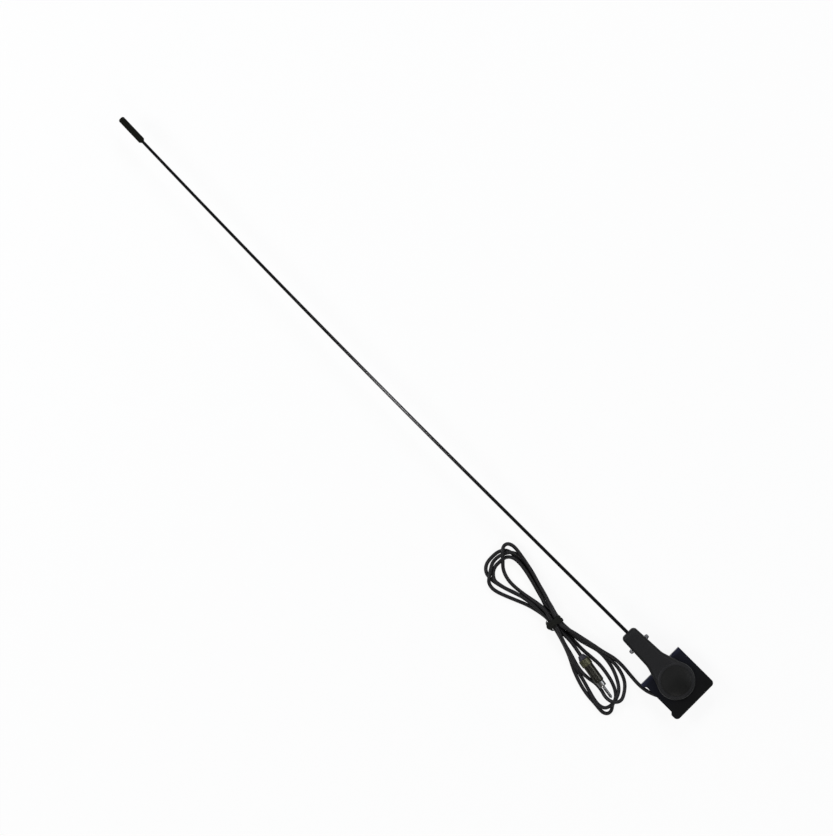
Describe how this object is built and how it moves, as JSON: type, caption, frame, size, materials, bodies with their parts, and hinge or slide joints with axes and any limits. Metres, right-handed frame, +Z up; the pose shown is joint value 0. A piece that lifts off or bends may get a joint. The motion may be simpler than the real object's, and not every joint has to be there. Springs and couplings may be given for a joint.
{
  "type": "gutter mount antenna",
  "caption": "Black whip antenna on a folded bracket that clamps on a car's rain gutter, lying flat beside its tied coaxial lead and plug.",
  "frame": {"origin": "middle of the gutter seat, the inner face of the bracket's fold", "axes": "+Y along the arm and the mast, +X to the right, +Z up through the hub; the antenna lies on its clamp screws and its tied lead"},
  "size_m": [0.1081, 0.8679, 0.0325],
  "materials": {
    "bracket_paint": "semi-gloss black paint with a cool sheen",
    "arm_plastic": "fine-grained black moulding",
    "cover_plastic": "black moulding",
    "mast_black": "satin black coating on steel",
    "tip_plastic": "satin black",
    "screw_steel": "zinc plated",
    "dark_screw": "blackened steel",
    "gasket_rubber": "matt",
    "contact_brass": "plain",
    "tinned_metal": "tinned",
    "bush_plastic": "natural nylon",
    "cable_jacket": "black vinyl with a soft gloss",
    "tie_vinyl": "black vinyl over wire",
    "plug_boot_vinyl": "black vinyl",
    "collar_brass": "dull brass",
    "plug_nickel": "nickel plate"
  },
  "bodies": {
    "bracket": {"gutter_bracket": "bracket_paint", "hub_gasket": "gasket_rubber", "pivot_washer": "contact_brass", "pivot_screw": "screw_steel", "insulating_bush": "bush_plastic", "core_terminal": "tinned_metal", "spring_washer": "screw_steel", "pivot_nut": "screw_steel", "ground_terminal": "tinned_metal", "ground_rivet": "tinned_metal", "rear_cover": "cover_plastic", "cover_screws": "dark_screw", "cable_grommet": "gasket_rubber", "cable_end": "cable_jacket", "cable_lead": "cable_jacket", "cable_hank": "cable_jacket", "cable_tail": "cable_jacket", "hank_tie": "tie_vinyl", "plug_boot": "plug_boot_vinyl", "plug_collar": "collar_brass", "plug_shell": "plug_nickel", "plug_sleeve": "plug_nickel", "plug_insulator": "bush_plastic", "plug_pin": "plug_nickel"},
    "arm": {"mast_arm": "arm_plastic", "mast_socket": "contact_brass", "contact_strip": "contact_brass", "mast_whip": "mast_black", "mast_tip": "tip_plastic", "mast_lock_screw_left": "dark_screw", "mast_lock_screw_right": "dark_screw", "hub_cap": "arm_plastic"},
    "clamp_left": {"clamp_screw_left": "screw_steel"},
    "clamp_right": {"clamp_screw_right": "screw_steel"}
  },
  "joints": [
    {"name": "arm_turn", "type": "hinge", "parent": "bracket", "child": "arm", "pos_m": [0, -0.02, 0], "axis": [0, 0, 1], "range_deg": [-90, 90]},
    {"name": "clamp_left_travel", "type": "slide", "parent": "bracket", "child": "clamp_left", "axis": [0, 0, 1], "range_m": [-0.0028, 0.0035]},
    {"name": "clamp_right_travel", "type": "slide", "parent": "bracket", "child": "clamp_right", "axis": [0, 0, 1], "range_m": [-0.0028, 0.0035]}
  ]
}
